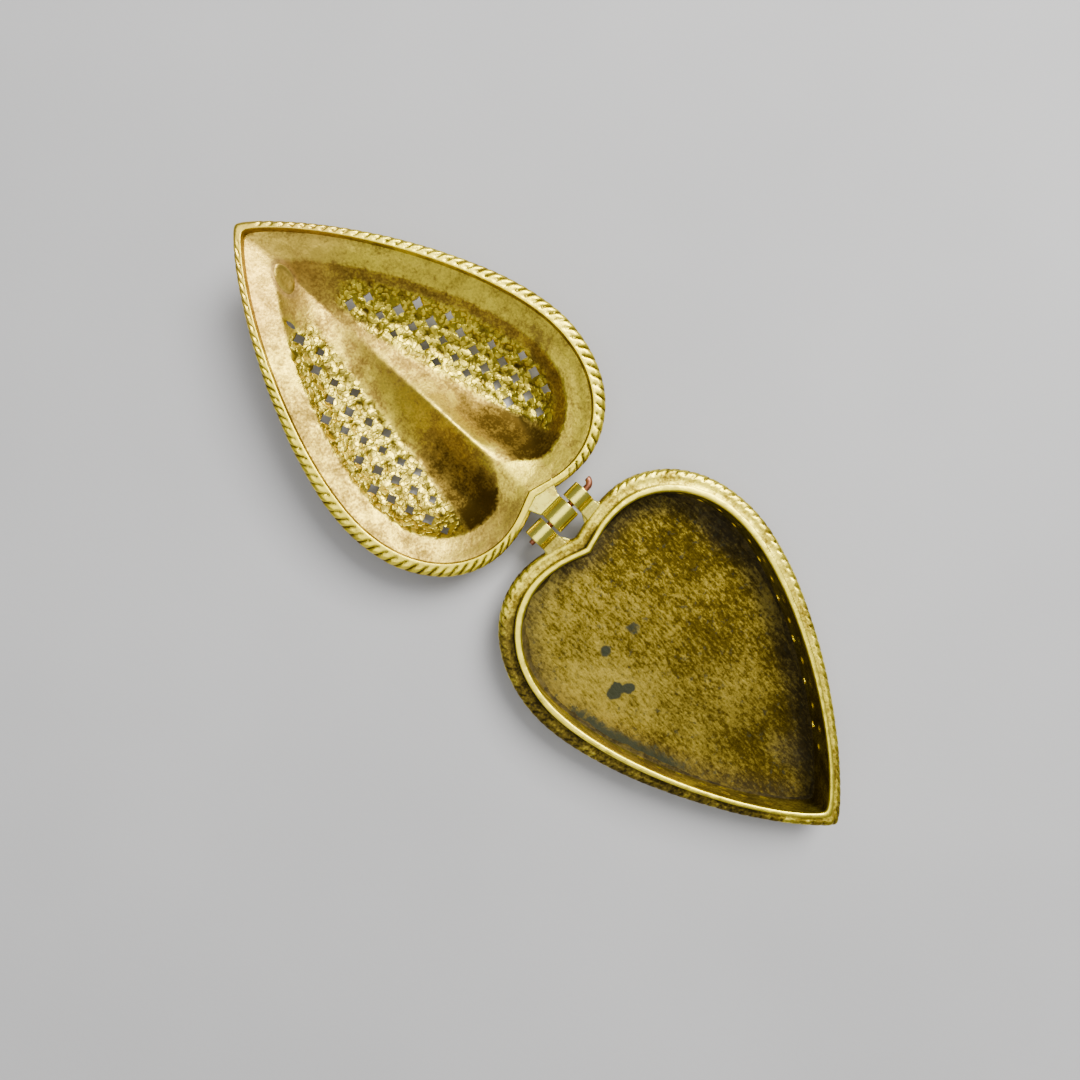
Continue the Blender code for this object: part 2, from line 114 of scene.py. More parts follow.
STATIONS = 1008  # cross-sections round a moulding
NOTCHES = 104  # rope notches round each half
ROPE_PITCH = 2.9  # mm between notches
SLANT = 0.95  # how far a notch leans, per mm down the moulding
NOTCH_SHARPNESS = 2.6

EAR_ENDS = ((-8.9, -3.3), (5.2, 10.1))  # along the pin, from the hinge's centre
KNUCKLE_ENDS = (-2.5, 4.4)
EAR_RADIUS = 3.2
KNUCKLE_RADIUS = 3.5
BORE_RADIUS = 1.0
MELT_SIZE = 0.16  # voxels that the knuckles' blocks are melted together with
PIN_ENDS = (-10.1, 11.2)
PIN_RADIUS = 0.89
PIN_NIPPED = 0.72  # the wire's ends, as a share of its radius
HOOK_RADIUS = 1.7
HOOK_TURN = math.radians(9.5)


# ---- plan curves

def cubic(points, t):
    """Points of a cubic whose four corners may differ from place to place."""
    s = 1 - t
    weights = (s**3, 3 * s * s * t, 3 * s * t * t, t**3)
    side = sum(w * p[0] for w, p in zip(weights, points))
    along = sum(w * p[1] for w, p in zip(weights, points))
    return side, along


def heart(outline, where):
    """Points (side, along) of a heart at places where: 0 and 6 are the cleft, 3 is the tip."""
    cleft, shoulder, half_width, tip = outline
    mirrored = where > 3
    place = np.where(mirrored, 6 - where, where)
    part = np.minimum(place.astype(int), 2)
    t = place - part
    crown = SHOULDER_SIDE * half_width
    back = WIDEST_ALONG - shoulder
    front = tip - WIDEST_ALONG
    lean = TIP_PULL * front
    curves = (
        ((0, cleft), (CLEFT_PULL[0] * crown, cleft - CLEFT_PULL[1]),
         (SHOULDER_PULL * crown, shoulder), (crown, shoulder)),
        ((crown, shoulder), (crown + CROWN_PULL * (half_width - crown), shoulder),
         (half_width, WIDEST_ALONG - FLANK_PULL[0] * back), (half_width, WIDEST_ALONG)),
        ((half_width, WIDEST_ALONG), (half_width, WIDEST_ALONG + FLANK_PULL[1] * front),
         (lean * math.sin(TIP_ANGLE), tip - lean * math.cos(TIP_ANGLE)), (0, tip)),
    )
    side = np.zeros(np.shape(place))
    along = np.zeros(np.shape(place))
    for index, curve in enumerate(curves):
        x, y = cubic(curve, t)
        side = np.where(part == index, x, side)
        along = np.where(part == index, y, along)
    along = tip + TIP_ROUNDING - np.hypot(tip - along, TIP_ROUNDING)
    return np.where(mirrored, -side, side), along


def even_places(outline, count):
    """Places round a heart that are equally far apart, starting at the cleft."""
    dense = np.linspace(0, 6, 6001)
    side, along = heart(outline, dense)
    travelled = np.concatenate(([0], np.cumsum(np.hypot(np.diff(side), np.diff(along)))))
    return np.interp(np.arange(count) * travelled[-1] / count, travelled, dense)


def outline_at(outer, inner, inset, total):
    """The heart that lies inset mm inside the outer one."""
    return [o + (i - o) * inset / total for o, i in zip(outer, inner)]


def base_outline(inset):
    return outline_at(BASE_OUTER, BASE_INNER, inset, BASE_INSET)


def loop_points(outline, count):
    return np.stack(heart(outline, even_places(outline, count)), axis=1)


def distance_to(loop, points):
    """Least distance from each point to a closed loop of points."""
    best = np.full(len(points), 1e9)
    for a, b in zip(loop, np.roll(loop, -1, axis=0)):
        span = b - a
        share = np.clip(((points - a) @ span) / (span @ span), 0, 1)
        gap = points - a - share[:, None] * span
        best = np.minimum(best, (gap * gap).sum(axis=1))
    return np.sqrt(best)


def inside(loop, points):
    """Whether each point lies in a closed loop."""
    hit = np.zeros(len(points), bool)
    for a, b in zip(loop, np.roll(loop, -1, axis=0)):
        if a[1] == b[1]:
            continue
        crosses = (a[1] > points[:, 1]) != (b[1] > points[:, 1])
        cut_side = a[0] + (b[0] - a[0]) * (points[:, 1] - a[1]) / (b[1] - a[1])
        hit ^= crosses & (points[:, 0] < cut_side)
    return hit


def ease(value, low, high):
    """0 up to low, 1 from high, and smooth between them."""
    t = np.clip((value - low) / (high - low), 0, 1)
    return t * t * (3 - 2 * t)


# ---- hand-made unevenness

def lumps(points, size, seed):
    """Smooth seeded noise from -1 to 1 at 3-D points, with lumps of about that size."""
    table = np.random.default_rng(seed).uniform(-1, 1, (32, 32, 32))
    scaled = np.asarray(points) / size + 1000.0
    cell = np.floor(scaled).astype(int)
    f = scaled - cell
    f = f * f * (3 - 2 * f)
    total = 0
    for dx in (0, 1):
        for dy in (0, 1):
            for dz in (0, 1):
                corner = table[(cell[:, 0] + dx) % 32, (cell[:, 1] + dy) % 32, (cell[:, 2] + dz) % 32]
                weight = (f[:, 0] if dx else 1 - f[:, 0]) * (f[:, 1] if dy else 1 - f[:, 1])
                total = total + corner * weight * (f[:, 2] if dz else 1 - f[:, 2])
    return total


# ---- meshes

def base_place(side, along, height):
    """The base's plan places, as positions in millimetres."""
    height = np.broadcast_to(height, np.shape(side))
    return np.stack((side, HINGE_POINT.y - along, height), axis=-1)


def lid_matrix():
    """Turns the lid's own (side, along, depth) into its open place, in millimetres."""
    closed = Matrix(((1, 0, 0), (0, -1, 0), (0, 0, 1))).to_4x4()
    return Matrix.Translation(HINGE_POINT) @ Matrix.Rotation(-OPENING, 4, HINGE_AXIS) @ closed


def hinge_matrix(opened):
    """+X along the pin at the hinge's centre, in millimetres, for the base or the open lid."""
    turn = Matrix.Rotation(math.atan2(HINGE_AXIS.y, HINGE_AXIS.x), 4, "Z")
    swing = Matrix.Rotation(-OPENING if opened else 0.0, 4, "X")
    return Matrix.Translation(HINGE_POINT) @ turn @ swing


def add_object(name, mesh):
    item = bpy.data.objects.new(name, mesh)
    bpy.context.scene.collection.objects.link(item)
    return item


def smooth_shading(mesh, sharp):
    mesh.shade_smooth()
    mesh.set_sharp_from_angle(angle=math.radians(sharp))


def make_object(name, verts, faces, matrix=Matrix(), sharp=40):
    """A mesh object from positions in millimetres, with its faces pointing out."""
    mesh = bpy.data.meshes.new(name)
    mesh.from_pydata([tuple(v) for v in np.asarray(verts)], [], [tuple(f) for f in faces])
    mesh.transform(Matrix.Scale(MM, 4) @ matrix)
    bm = bmesh.new()
    bm.from_mesh(mesh)
    bm.normal_update()
    bmesh.ops.recalc_face_normals(bm, faces=bm.faces)
    bm.to_mesh(mesh)
    bm.free()
    smooth_shading(mesh, sharp)
    return add_object(name, mesh)


def ring_faces(rows, count, closed=False):
    """Quads between rows of count points each, every row closed round."""
    faces = []
    for r in range(rows if closed else rows - 1):
        low = r * count
        high = (r + 1) % rows * count
        for i in range(count):
            j = (i + 1) % count
            faces.append((low + i, low + j, high + j, high + i))
    return faces


def rounded(corners, step):
    """A section through (x, y, radius) corners: rounded, with points about step apart."""
    path = [np.array(corners[0][:2], float)]
    for before, corner, after in zip(corners, corners[1:], corners[2:]):
        p, radius = np.array(corner[:2], float), corner[2]
        to_before, to_after = np.array(before[:2]) - p, np.array(after[:2]) - p
        start = p + to_before * min(0.5, radius / np.linalg.norm(to_before))
        end = p + to_after * min(0.5, radius / np.linalg.norm(to_after))
        bends = 1 + min(4, math.ceil(3 * radius))
        for i in range(bends + 1):
            t = i / bends
            path.append(start * (1 - t)**2 + p * 2 * t * (1 - t) + end * t * t)
    path.append(np.array(corners[-1][:2], float))
    section = [path[0]]
    for a, b in zip(path, path[1:]):
        pieces = max(1, int(np.linalg.norm(b - a) / step))
        section += [a + (b - a) * (k + 1) / pieces for k in range(pieces)]
    return np.array(section)


def apply_modifiers(item):
    """Replaces an object's mesh by what its modifiers make of it."""
    bpy.context.view_layer.update()
    evaluated = item.evaluated_get(bpy.context.evaluated_depsgraph_get())
    mesh = bpy.data.meshes.new_from_object(evaluated)
    item.modifiers.clear()
    item.data = mesh


def cut(item, bm):
    """Cuts a bmesh out of an object, and frees it."""
    mesh = bpy.data.meshes.new("cutter")
    bm.to_mesh(mesh)
    bm.free()
    tool = add_object("cutter", mesh)
    modifier = item.modifiers.new("Difference", "BOOLEAN")
    modifier.operation = "DIFFERENCE"
    modifier.object = tool
    apply_modifiers(item)
    bpy.data.objects.remove(tool)


# ---- rope moulding

def notch_depth(round_share, travelled, spots, seed):
    """How deep the rope's notches are cut, 0 on a strand and 1 in a notch.

    round_share counts once round the heart, and travelled is how far down the moulding in mm."""
    drift = 0.0014 * lumps(spots, 9.0, seed)
    phase = (round_share + drift) * NOTCHES + SLANT * travelled / ROPE_PITCH
    strand = np.abs(np.sin(math.pi * phase))
    uneven = 0.85 + 0.35 * lumps(spots, 3.0, seed + 1)
    return (1 - strand) ** NOTCH_SHARPNESS * uneven


def arc_lengths(points):
    """How far along a line each of its points lies, in mm."""
    return np.concatenate(([0], np.cumsum(np.linalg.norm(np.diff(points, axis=0), axis=1))))


# ---- base

def base_section():
    """The wall's cross-section as (inset, height), from the foot's inside round to it again."""
    corners = [
        (5.6, 0.0, 0), (3.7, 0.0, 0.35), (3.65, 1.9, 0.7), (4.4, 2.7, 0.5), (4.4, 8.5, 0.6),
        (1.5, 9.0, 0.5), (0.35, 9.3, 0.9), (-0.1, 10.8, 1.3), (0.3, 12.3, 0.9), (1.5, 12.72, 0.6),
        (2.8, 12.5, 0.9), (4.1, 12.66, 0.3), (4.15, 15.9, 0.25), (4.7, 16.0, 0.3),
        (5.6, 15.97, 0.3), (5.95, 15.6, 0.3), (5.7, 13.5, 1.2), (5.6, FLOOR_TOP, 0.2), (5.6, 0.0, 0),
    ]
    return rounded(corners, 0.7)[:-1]


def make_base_wall():
    section = base_section()
    places = even_places(BASE_OUTER, STATIONS)
    turn_share = np.arange(STATIONS) / STATIONS
    rows = []
    for (inset, height), travelled in zip(section, arc_lengths(section)):
        outline = base_outline(inset)
        side, along = heart(outline, places)
        spots = base_place(side, along, height)
        wander = lumps(spots, 9.0, 3) * 0.16 + lumps(spots, 2.2, 4) * 0.05
        on_rope = (inset < 1.9 and 8.8 < height < 12.8) * (1 - ease(inset, 1.2, 2.3))
        near_hinge = np.where(along > 30, 1.0, ease(np.abs(side), 12.0, 16.0))
        notch = notch_depth(turn_share, travelled, spots, 5) * near_hinge
        depth = inset + on_rope * 0.5 * notch + 0.5 * wander * (inset < 4.5)
        side, along = heart(base_outline(depth), places)
        lift = 0.10 * lumps(spots, 12.0, 6) + 0.05 * lumps(spots, 1.6, 7)
        sink = 0.25 * on_rope * notch * (height > 11.0)
        rows.append(base_place(side, along, height + lift * (height > 8) - sink))
    verts = np.concatenate(rows)
    wall = make_object("base_wall_cast", verts, ring_faces(len(section), STATIONS, closed=True))
    cutter, hole_centres = wall_hole_cutter()
    cut(wall, cutter)
    smooth_shading(wall.data, 40)
    return wall, hole_centres


def wall_hole_cutter():
    """Round holes through the wall, single ones between stacked pairs, and their centres."""
    rng = np.random.default_rng(11)
    places = even_places(BASE_INNER, 3000)
    middle = base_outline(WALL_MIDDLE)
    spots = base_place(*heart(middle, places), 0.0)
    travelled = arc_lengths(spots)
    bm = bmesh.new()
    centres = []
    next_hole, index = WALL_HOLES_FROM, 0
    tip = base_place(0.0, BASE_INNER[3], 0.0)
    while next_hole < travelled[-1] - WALL_HOLES_FROM:
        k = int(np.searchsorted(travelled, next_hole + rng.uniform(-0.4, 0.4)))
        next_hole += WALL_HOLE_PITCH / 2
        index += 1
        if abs(spots[k][1] - tip[1]) < WALL_HOLES_CLEAR:
            continue
        tangent = Vector(spots[k + 1] - spots[k - 1]).normalized()
        across = tangent.cross(Vector((0, 0, 1)))
        for height in WALL_HOLE_HEIGHTS[index % 2]:
            turn = across.to_track_quat("Z", "Y").to_matrix().to_4x4()
            centre = Vector(spots[k]) + Vector((0, 0, height + rng.uniform(-0.25, 0.25)))
            radius = WALL_HOLE_RADIUS * rng.uniform(0.85, 1.2)
            centres.append(centre)
            bmesh.ops.create_cone(bm, cap_ends=True, segments=14, radius1=radius * 1.25,
                                  radius2=radius * 0.9, depth=7.0,
                                  matrix=Matrix.Translation(centre) @ turn)
    bm.normal_update()
    bmesh.ops.recalc_face_normals(bm, faces=bm.faces)
    bmesh.ops.scale(bm, vec=(MM, MM, MM), verts=bm.verts)
    return bm, np.array(centres)


def make_base_floor():
    """The floor plate: a sheet with the slight waves of hammered and brushed metal."""
    edge = loop_points(FLOOR_EDGE, 240)
    plan, triangles = plan_mesh([edge], 0.8, lambda spots: inside(edge, spots))
    count = len(plan)
    spots = base_place(plan[:, 0], plan[:, 1], FLOOR_TOP)
    waves = 0.10 * lumps(spots, 14.0, 21) + 0.03 * lumps(spots, 4.0, 22)
    top = base_place(plan[:, 0], plan[:, 1], FLOOR_TOP + waves)
    bottom = base_place(plan[:, 0], plan[:, 1], 0.0)
    faces = [tuple(t) for t in triangles]
    faces += [tuple(count + i for i in reversed(t)) for t in triangles]
    faces += [(i, (i + 1) % 240, count + (i + 1) % 240, count + i) for i in range(240)]
    return make_object("base_floor_plate", np.concatenate((top, bottom)), faces)


def make_solder_seam():
    """Uneven fillet of old solder and dirt where the floor meets the wall."""
    count = 480
    places = even_places(BASE_INNER, count)
    shapes = ((-0.25, -0.6), (-0.25, 1.0), (0.15, 0.75), (0.55, 0.3), (1.15, 0.04), (1.2, -0.6))
    rows = []
    for out, up in shapes:
        outline = base_outline(BASE_INSET + out)
        spots = base_place(*heart(outline, places), 0.0)
        uneven = 1 + 0.5 * lumps(spots, 5.0, 31) + 0.3 * lumps(spots, 1.5, 32)
        outline = base_outline(BASE_INSET + out * uneven)
        side, along = heart(outline, places)
        rise = up * uneven if up > 0 else up
        rows.append(base_place(side, along, FLOOR_TOP + rise))
    faces = ring_faces(len(shapes), count, closed=True)
    return make_object("solder_seam", np.concatenate(rows), faces, sharp=80)


# ---- plan triangles

def plan_mesh(loops, spacing, keep, fixed_lines=(), avoid=None):
    """Triangulates a plan with every loop and line kept, and points about spacing apart."""
    points, edges = [], []
    for line, closed in [(loop, True) for loop in loops] + [(line, False) for line in fixed_lines]:
        first, count = len(points), len(line)
        points.extend(line)
        edges.extend((first + i, first + (i + 1) % count) for i in range(count - (not closed)))
    fixed = np.array(points)
    low, high = fixed.min(axis=0), fixed.max(axis=0)
    rows = int((high[1] - low[1]) / (spacing * 0.87)) + 1
    columns = int((high[0] - low[0]) / spacing) + 1
    i, j = np.meshgrid(np.arange(rows), np.arange(columns), indexing="ij")
    spots = np.stack((low[0] + (j + 0.5 * (i % 2)) * spacing, low[1] + i * spacing * 0.87), axis=-1)
    spots = spots.reshape(-1, 2)
    spots = spots[keep(spots)]
    spots = spots[nearest(fixed, spots) > 0.5 * spacing]
    if avoid is not None:
        spots = spots[avoid(spots)]
    everything = [Vector(p) for p in points] + [Vector(p) for p in spots]
    verts, _, faces, *_ = delaunay_2d_cdt(everything, edges, [], 1, 1e-6)
    verts = np.array([tuple(v) for v in verts])
    triangles = np.array([tuple(f) for f in faces if len(f) == 3])
    centres = verts[triangles].mean(axis=1)
    good = keep(centres)
    if avoid is not None:
        good &= avoid(centres)
    return verts, triangles[good]


def nearest(fixed, spots):
    """Distance from each spot to the nearest fixed point, by bands to save memory."""
    result = np.empty(len(spots))
    for start in range(0, len(spots), 2000):
        block = spots[start:start + 2000]
        gaps = np.linalg.norm(block[:, None, :] - fixed[None, :, :], axis=2)
        result[start:start + 2000] = gaps.min(axis=1)
    return result


# ---- lid

RIM_LOOP = loop_points(LID_INNER, STATIONS)
CREASE_LOOP = loop_points(CREASE, 360)


def dome_depth(points):
    """The inside of the lid: a sloping skirt, a crease, and two puffed lobes with a valley."""
    to_crease = distance_to(CREASE_LOOP[::2], points)
    within = inside(CREASE_LOOP, points)
    to_rim = distance_to(RIM_LOOP[::6], points)
    share = to_rim / np.maximum(to_rim + to_crease, 1e-6)
    skirt = RIM_DROP + (CREASE_DEPTH - RIM_DROP) * share
    side, along = points[:, 0], points[:, 1]
    reach = DOME_REACH_BACK + (DOME_REACH - DOME_REACH_BACK) * ease(along, 12, 45)
    rise = DOME_RISE * (1 - (1 - np.minimum(to_crease / reach, 1.0)) ** 2.2)
    valley = 1 - ease(along, VALLEY_START, VALLEY_END)
    near = np.clip(1 - np.hypot(side, 0.35) / VALLEY_HALF_WIDTH, 0, 1)
    lobes = CREASE_DEPTH + rise * (1 - valley * near**1.5)
    return np.where(within, lobes, skirt)


def outer_depth(points):
    step = 0.25
    across = dome_depth(points + (step, 0)) - dome_depth(points - (step, 0))
    along = dome_depth(points + (0, step)) - dome_depth(points - (0, step))
    slope = np.minimum(np.hypot(across, along) / (2 * step), 1.8)
    return dome_depth(points) + SHELL * np.hypot(1, slope)


def pierced_band(points):
    """The piercing's least distance to the crease, and its least distance to the valley."""
    right = points[:, 0] > 0
    near, inner, slope = (np.where(right, a, b) for a, b in zip(PIERCED_RIGHT, PIERCED_LEFT))
    return near, np.maximum(inner - slope * points[:, 1], PIERCED_SIDE)


def lattice_share(points):
    """Places counted in lattice steps: whole numbers are holes, halves are bosses."""
    plan = np.stack((np.abs(points[:, 0]), points[:, 1]), axis=1) - LATTICE_START
    return plan @ np.linalg.inv(np.stack((LATTICE_A, LATTICE_B)))


def diamonds():
    """Outlines of the pierced holes: squares with hollow sides, each a little different."""
    rng = np.random.default_rng(5)
    spots = np.array([LATTICE_START + LATTICE_A * i + LATTICE_B * j
                      for i in range(-9, 10) for j in range(-6, 7)])
    ok = (spots[:, 1] > PIERCED_FROM) & (spots[:, 1] < PIERCED_TO)
    edge = distance_to(CREASE_LOOP, spots)
    ok &= inside(CREASE_LOOP, spots)
    first = (LATTICE_A + LATTICE_B) / np.linalg.norm(LATTICE_A + LATTICE_B)
    second = (LATTICE_A - LATTICE_B) / np.linalg.norm(LATTICE_A - LATTICE_B)
    holes = []
    for mirror in (1, -1):
        near, inner = pierced_band(spots * (mirror, 1))
        for centre in spots[ok & (edge > near) & (spots[:, 0] > inner)]:
            centre = centre + rng.uniform(-0.22, 0.22, 2)
            size = rng.uniform(0.82, 1.08)
            corners = [way * DIAMOND_RADIUS * size * rng.uniform(0.85, 1.1)
                       for way in (first, second, -first, -second)]
            loop = []
            for a, b in zip(corners, corners[1:] + corners[:1]):
                hollow = (a + b) / 2 * rng.uniform(0.78, 0.98)
                for t in np.arange(5) / 5:
                    loop.append(centre + a * (1 - t)**2 + (2 * hollow - (a + b) / 2) * 2 * t * (1 - t)
                                + b * t * t)
            holes.append(np.array(loop) * (mirror, 1))
    angles = np.arange(10) * math.pi / 5
    slit = np.stack((np.cos(angles), np.sin(angles)), axis=1) * SLIT_SIZE
    holes.append(slit + SLIT_CENTRE)
    return holes


def carving(points):
    """How much the pierced part of the lobes is carved: 0 outside it, 1 in its middle."""
    edge = distance_to(CREASE_LOOP[::2], points)
    near, inner = pierced_band(points)
    mask = ease(edge, near - 2.6, near - 0.4)
    mask *= ease(np.abs(points[:, 0]), inner - 2.6, inner - 0.2)
    mask *= ease(points[:, 1], PIERCED_FROM - 3, PIERCED_FROM + 1)
    mask *= 1 - ease(points[:, 1], PIERCED_TO - 1, PIERCED_TO + 3)
    return np.where(inside(CREASE_LOOP, points), mask, 0)


def bosses(points):
    """Round bosses between the holes: 1 on a boss, 0 at a hole or where four bosses meet."""
    steps = 2 * math.pi * lattice_share(points)
    return ((1 - np.cos(steps[:, 0]) * np.cos(steps[:, 1])) / 2) ** 0.6


def lid_section():
    """The rim's cross-section as (inset, depth), from inside the step round to the outside."""
    corners = [
        (3.7, RIM_DROP, 0), (3.7, 0.0, 0.25), (1.3, 0.0, 0.4), (0.2, 0.45, 0.7), (-0.1, 2.0, 1.2),
        (0.3, 3.6, 0.8), (1.4, 4.05, 0.5), (1.8, 5.0, 0.5), (3.7, RIM_DROP + SHELL + 0.1, 0),
    ]
    return rounded(corners, 0.4)[1:-1]


def make_lid_shell():
    holes = diamonds()
    centres = np.array([hole.mean(axis=0) for hole in holes])

    def keep(spots):
        return inside(RIM_LOOP[::4], spots) | (distance_to(RIM_LOOP[::4], spots) < 0.02)

    def clear_of_holes(spots):
        ok = np.ones(len(spots), bool)
        for hole, centre in zip(holes, centres):
            close = np.flatnonzero(np.abs(spots - centre).max(axis=1) < 2.2)
            ok[close[inside(hole, spots[close])]] = False
        return ok

    ridge = [np.array((0.0, a)) for a in np.linspace(CREASE[0] + 0.8, VALLEY_END, 90)]
    plan, triangles = plan_mesh([RIM_LOOP, CREASE_LOOP] + holes, 0.62, keep, [ridge], clear_of_holes)
    carved = carving(plan)
    spots = np.pad(plan, ((0, 0), (0, 1)))
    rough = lumps(spots, 2.6, 41) * 0.14 + lumps(spots, 1.3, 42) * 0.14
    swell = lumps(spots, 11.0, 43) * 0.22 + lumps(spots, 5.0, 44) * 0.06
    fade = ease(distance_to(RIM_LOOP[::6], plan), 0.3, 3.0)
    tooled = carved * (1.2 * rough - 0.6 * bosses(plan) + 0.25)
    inner = dome_depth(plan) + fade * (swell + 0.3 * rough + tooled)
    outer = outer_depth(plan) + fade * (swell + carved * (0.45 * bosses(plan) - 0.25 + 0.3 * rough))
    count = len(plan)
    verts = [np.column_stack((plan, inner)), np.column_stack((plan, outer))]
    faces = [tuple(t) for t in triangles] + [tuple(count + i for i in reversed(t)) for t in triangles]
    faces += hole_walls(triangles, count, STATIONS)
    section = lid_section()
    places = even_places(LID_INNER, STATIONS)
    turn_share = np.arange(STATIONS) / STATIONS
    for (inset, depth), travelled in zip(section, arc_lengths(section)):
        outline = outline_at(LID_OUTER, LID_INNER, inset, LID_INSET)
        side, along = heart(outline, places)
        here = np.column_stack((side, along, np.full(STATIONS, depth)))
        on_rope = (1 - ease(inset, 2.1, 3.1)) * (1 - ease(depth, 3.2, 4.2))
        near_hinge = np.where(along > 30, 1.0, ease(np.abs(side), 9.0, 13.0))
        near_tip = 1 - ease(along, 105.0, 109.0)
        notch = notch_depth(turn_share, travelled, here, 45) * near_hinge * near_tip
        wander = lumps(here, 8.0, 46) * 0.10 + lumps(here, 2.0, 47) * 0.05
        moved = inset + on_rope * 0.6 * notch + wander * (inset < 3.0)
        side, along = heart(outline_at(LID_OUTER, LID_INNER, moved, LID_INSET), places)
        flat = 0.04 * lumps(here, 1.8, 48) * (depth < 0.5)
        sink = 0.55 * on_rope * notch * (depth < 1.5)
        verts.append(np.column_stack((side, along, depth + flat + sink)))
    first = 2 * count
    rings = [np.arange(STATIONS)] + [first + r * STATIONS + np.arange(STATIONS)
                                     for r in range(len(section))] + [count + np.arange(STATIONS)]
    for low, high in zip(rings, rings[1:]):
        following = np.roll(np.arange(STATIONS), -1)
        faces += list(zip(low, low[following], high[following], high))
    faces = [tuple(int(i) for i in face) for face in faces]
    shell = make_object("lid_shell_cast", np.concatenate(verts), faces, lid_matrix(), sharp=50)
    for vertex in shell.data.vertices:
        vertex.co.z = max(vertex.co.z, 0.0)
    return shell


def hole_walls(triangles, count, rim_count):
    """Quads that join the inner and outer sheets round every hole."""
    sides = set()
    for t in triangles:
        sides.update(((t[0], t[1]), (t[1], t[2]), (t[2], t[0])))
    return [(b, a, count + a, count + b) for a, b in sides
            if (b, a) not in sides and not (a < rim_count and b < rim_count)]


# ---- small pieces

def soft_casting(name, parts, matrix):
    """Blocks melted together into one soft-edged casting, then bored for the pin."""
    verts, faces = [], []
    for part_verts, part_faces in parts:
        faces += [tuple(i + len(verts) for i in face) for face in part_faces]
        verts += list(part_verts)
    item = make_object(name, verts, faces)
    remesh = item.modifiers.new("Remesh", "REMESH")
    remesh.mode = "VOXEL"
    remesh.voxel_size = MELT_SIZE * MM
    smooth = item.modifiers.new("Smooth", "SMOOTH")
    smooth.factor = 0.5
    smooth.iterations = 5
    apply_modifiers(item)
    bm = bmesh.new()
    bmesh.ops.create_cone(bm, cap_ends=True, segments=40, radius1=BORE_RADIUS * MM,
                          radius2=BORE_RADIUS * MM, depth=40 * MM,
                          matrix=Matrix.Rotation(math.pi / 2, 4, "Y"))
    cut(item, bm)
    place = matrix.copy()
    place.translation = matrix.translation * MM
    item.data.transform(place)
    smooth_shading(item.data, 45)
    return item


def barrel(ends, radius, steps=48):
    """A round barrel along the pin, faced at both ends."""
    angles = np.arange(steps) * 2 * math.pi / steps
    ring = np.stack((radius * np.cos(angles), radius * np.sin(angles)), axis=1)
    verts = [(x, y, z) for x in ends for y, z in ring]
    faces = ring_faces(2, steps)
    faces += [tuple(reversed(range(steps))), tuple(range(steps, 2 * steps))]
    return verts, faces


def wedge(near, far, half_near, half_far, low, high, centre=0.0, drop=0.0):
    """A block that runs from the barrel (near) to the casting (far), along -Y."""
    verts = []
    for y, half, high in ((near, half_near, high), (far, half_far, high - drop)):
        verts += [(centre - half, y, low), (centre + half, y, low), (centre + half, y, high),
                  (centre - half, y, high)]
    faces = [(0, 1, 2, 3), (7, 6, 5, 4), (0, 4, 5, 1), (1, 5, 6, 2), (2, 6, 7, 3), (3, 7, 4, 0)]
    return verts, faces


def make_ear(name, node, ends):
    middle = sum(ends) / 2
    half = (ends[1] - ends[0]) / 2
    top = LEDGE - HINGE_HEIGHT
    parts = [barrel(ends, EAR_RADIUS), wedge(0.0, -3.6, half, half, -3.2, top + 0.3, middle, 0.1),
             wedge(-3.2, -7.4, half - 0.1, half + 0.2, -3.2, top + 0.25, middle, 0.75),
             wedge(-3.6, -6.6, half - 0.2, half + 1.5, -3.0, top - 0.05, middle, 0.7)]
    ear = soft_casting(name, parts, hinge_matrix(opened=False))
    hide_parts(node)
    return ear


def make_lid_knuckle():
    middle = sum(KNUCKLE_ENDS) / 2
    parts = [barrel(KNUCKLE_ENDS, KNUCKLE_RADIUS), wedge(0.0, -6.9, 3.45, 3.45, 0.05, 3.4, middle),
             wedge(-3.4, -8.4, 3.4, 5.6, 0.08, 3.0, middle * 0.6)]
    knuckle = soft_casting("lid_knuckle_cast", parts, hinge_matrix(opened=True))
    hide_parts("lid_knuckle")
    return knuckle


def make_pin():
    """Copper wire, a little bent, hooked at its right end and nipped off at its left."""
    points = [Vector((x, 0, 0)) for x in np.linspace(*PIN_ENDS, 14)]
    for i in range(1, 11):
        angle = HOOK_TURN * i
        points.append(Vector((PIN_ENDS[1] + HOOK_RADIUS * math.sin(angle),
                              HOOK_RADIUS * (1 - math.cos(angle)), 0)))
    steps = 24
    verts, count = [], len(points)
    for k, point in enumerate(points):
        ahead = (points[min(k + 1, count - 1)] - points[max(k - 1, 0)]).normalized()
        up = Vector((0, 0, 1))
        out = ahead.cross(up).normalized()
        radius = PIN_RADIUS * (PIN_NIPPED if k in (0, count - 1) else 1.0)
        for i in range(steps):
            angle = 2 * math.pi * i / steps
            verts.append(point + (out * math.cos(angle) + up * math.sin(angle)) * radius)
    faces = ring_faces(count, steps)
    faces += [tuple(reversed(range(steps))), tuple(range((count - 1) * steps, count * steps))]
    pin = make_object("hinge_pin_wire", verts, faces, hinge_matrix(opened=False), sharp=60)
    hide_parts("hinge_pin")
    return pin


PATCH_CENTRE = np.array((-1.6, 95.0))
PATCH_TURN = np.array(Matrix.Rotation(math.radians(-28), 2))
PATCH_SIZE = np.array((2.2, 4.0))


def patch_gap(plan):
    """How far out from the plug's centre plan places lie: 1 is its edge."""
    return np.linalg.norm((plan - PATCH_CENTRE) @ PATCH_TURN / PATCH_SIZE, axis=1)


